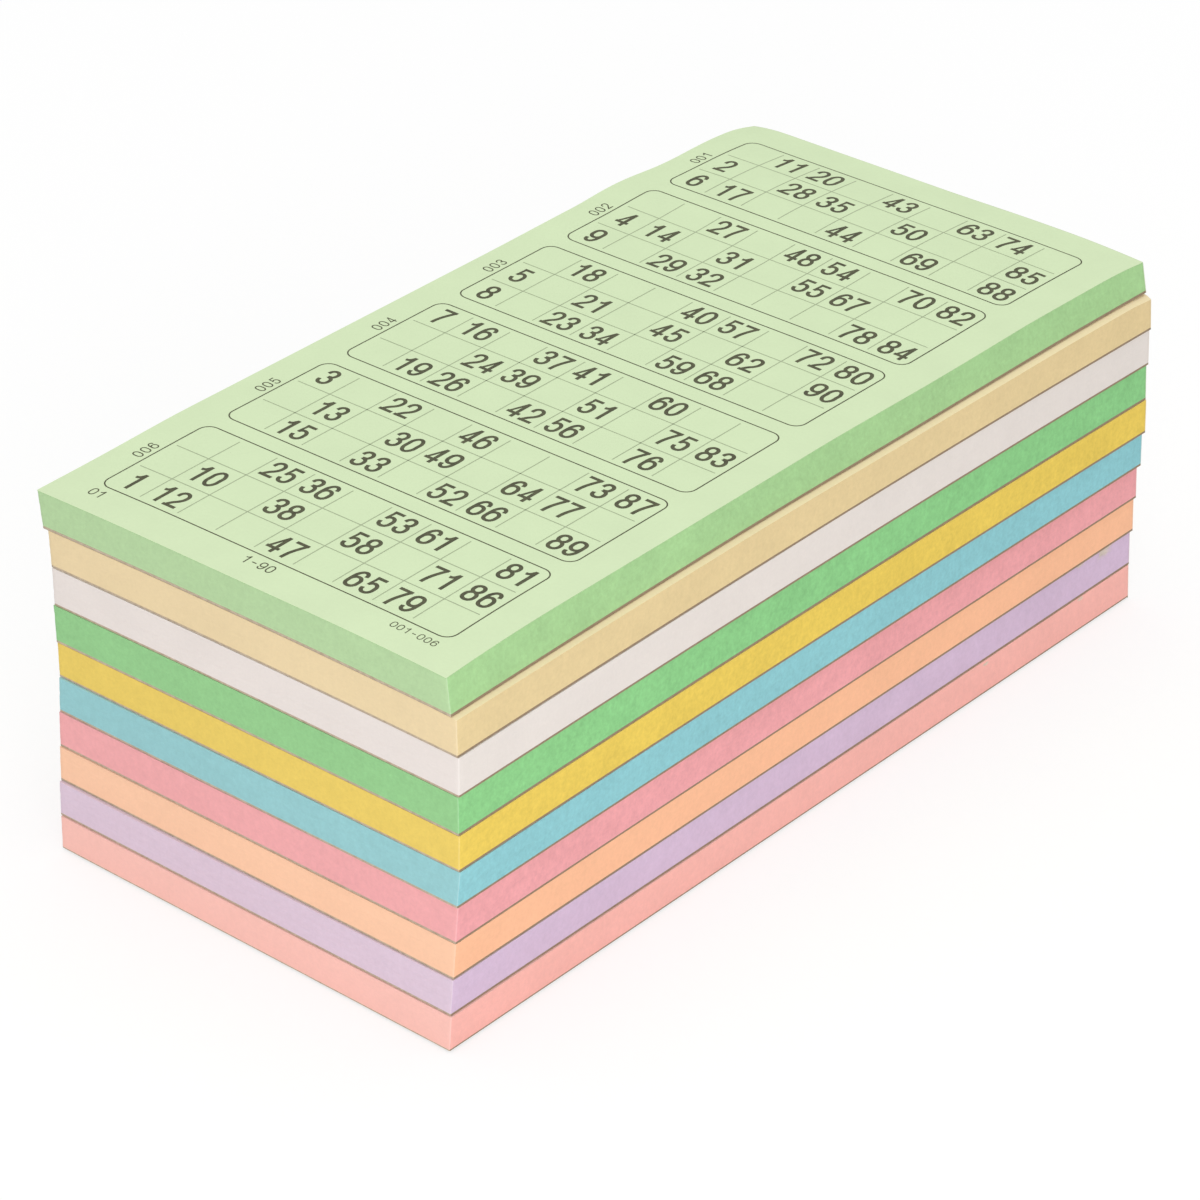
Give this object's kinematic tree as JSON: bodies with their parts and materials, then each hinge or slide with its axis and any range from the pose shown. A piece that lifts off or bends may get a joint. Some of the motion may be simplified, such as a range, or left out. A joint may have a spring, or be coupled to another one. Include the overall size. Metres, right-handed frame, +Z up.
{
  "type": "stack of bingo ticket pads",
  "caption": "Loose stack of paper game-ticket pads in different colours, each a block of sheets on a board, glued along one short edge.",
  "frame": {"origin": "on the underside of the lowest backing board, in the middle of the stack", "axes": "+X across a sheet in the reading direction, +Y along a sheet towards its glued head, +Z up through the stack"},
  "size_m": [0.1038, 0.2126, 0.0773],
  "materials": {
    "pale_green_paper": "uncoated tinted paper, pale green",
    "buff_paper": "uncoated tinted paper, buff",
    "white_paper": "uncoated paper, warm white",
    "green_paper": "uncoated tinted paper, mid green",
    "yellow_paper": "uncoated tinted paper, golden yellow",
    "blue_paper": "uncoated tinted paper, turquoise blue",
    "rose_paper": "uncoated tinted paper, rose",
    "peach_paper": "uncoated tinted paper, peach",
    "lilac_paper": "uncoated tinted paper, lilac",
    "salmon_paper": "uncoated tinted paper, salmon pink",
    "backing_board": "grey-brown chipboard, matt",
    "padding_glue": "dried film of padding glue, satin",
    "printing_ink": "dark grey printing ink on the tickets, matt; drawn by the visual model alone"
  },
  "bodies": {
    "pad_01": {"pad_01_tickets": "pale_green_paper", "pad_01_backing_board": "backing_board", "pad_01_head_glue": "padding_glue"},
    "pad_02": {"pad_02_tickets": "buff_paper", "pad_02_top_ticket": "buff_paper", "pad_02_backing_board": "backing_board", "pad_02_head_glue": "padding_glue"},
    "pad_03": {"pad_03_tickets": "white_paper", "pad_03_top_ticket": "white_paper", "pad_03_backing_board": "backing_board", "pad_03_head_glue": "padding_glue"},
    "pad_04": {"pad_04_tickets": "green_paper", "pad_04_top_ticket": "green_paper", "pad_04_backing_board": "backing_board", "pad_04_head_glue": "padding_glue"},
    "pad_05": {"pad_05_tickets": "yellow_paper", "pad_05_top_ticket": "yellow_paper", "pad_05_backing_board": "backing_board", "pad_05_head_glue": "padding_glue"},
    "pad_06": {"pad_06_tickets": "blue_paper", "pad_06_top_ticket": "blue_paper", "pad_06_backing_board": "backing_board", "pad_06_head_glue": "padding_glue"},
    "pad_07": {"pad_07_tickets": "rose_paper", "pad_07_top_ticket": "rose_paper", "pad_07_backing_board": "backing_board", "pad_07_head_glue": "padding_glue"},
    "pad_08": {"pad_08_tickets": "peach_paper", "pad_08_top_ticket": "peach_paper", "pad_08_backing_board": "backing_board", "pad_08_head_glue": "padding_glue"},
    "pad_09": {"pad_09_tickets": "lilac_paper", "pad_09_top_ticket": "lilac_paper", "pad_09_backing_board": "backing_board", "pad_09_head_glue": "padding_glue"},
    "pad_10": {"pad_10_tickets": "salmon_paper", "pad_10_top_ticket": "salmon_paper", "pad_10_backing_board": "backing_board", "pad_10_head_glue": "padding_glue"},
    "top_ticket": {"pad_01_top_ticket": "pale_green_paper"}
  },
  "joints": [
    {"name": "pad_09_lift", "type": "slide", "parent": "pad_10", "child": "pad_09", "axis": [0, 0, 1], "range_m": [0, 0.06]},
    {"name": "pad_08_lift", "type": "slide", "parent": "pad_09", "child": "pad_08", "axis": [0, 0, 1], "range_m": [0, 0.06]},
    {"name": "pad_07_lift", "type": "slide", "parent": "pad_08", "child": "pad_07", "axis": [0, 0, 1], "range_m": [0, 0.06]},
    {"name": "pad_06_lift", "type": "slide", "parent": "pad_07", "child": "pad_06", "axis": [0, 0, 1], "range_m": [0, 0.06]},
    {"name": "pad_05_lift", "type": "slide", "parent": "pad_06", "child": "pad_05", "axis": [0, 0, 1], "range_m": [0, 0.06]},
    {"name": "pad_04_lift", "type": "slide", "parent": "pad_05", "child": "pad_04", "axis": [0, 0, 1], "range_m": [0, 0.06]},
    {"name": "pad_03_lift", "type": "slide", "parent": "pad_04", "child": "pad_03", "axis": [0, 0, 1], "range_m": [0, 0.06]},
    {"name": "pad_02_lift", "type": "slide", "parent": "pad_03", "child": "pad_02", "axis": [0, 0, 1], "range_m": [0, 0.06]},
    {"name": "pad_01_lift", "type": "slide", "parent": "pad_02", "child": "pad_01", "axis": [0, 0, 1], "range_m": [0, 0.06]},
    {"name": "top_ticket_turn", "type": "hinge", "parent": "pad_01", "child": "top_ticket", "pos_m": [-0.00189, 0.10635, 0.07579], "axis": [-1, -0.0037, 0], "range_deg": [0, 175]}
  ]
}
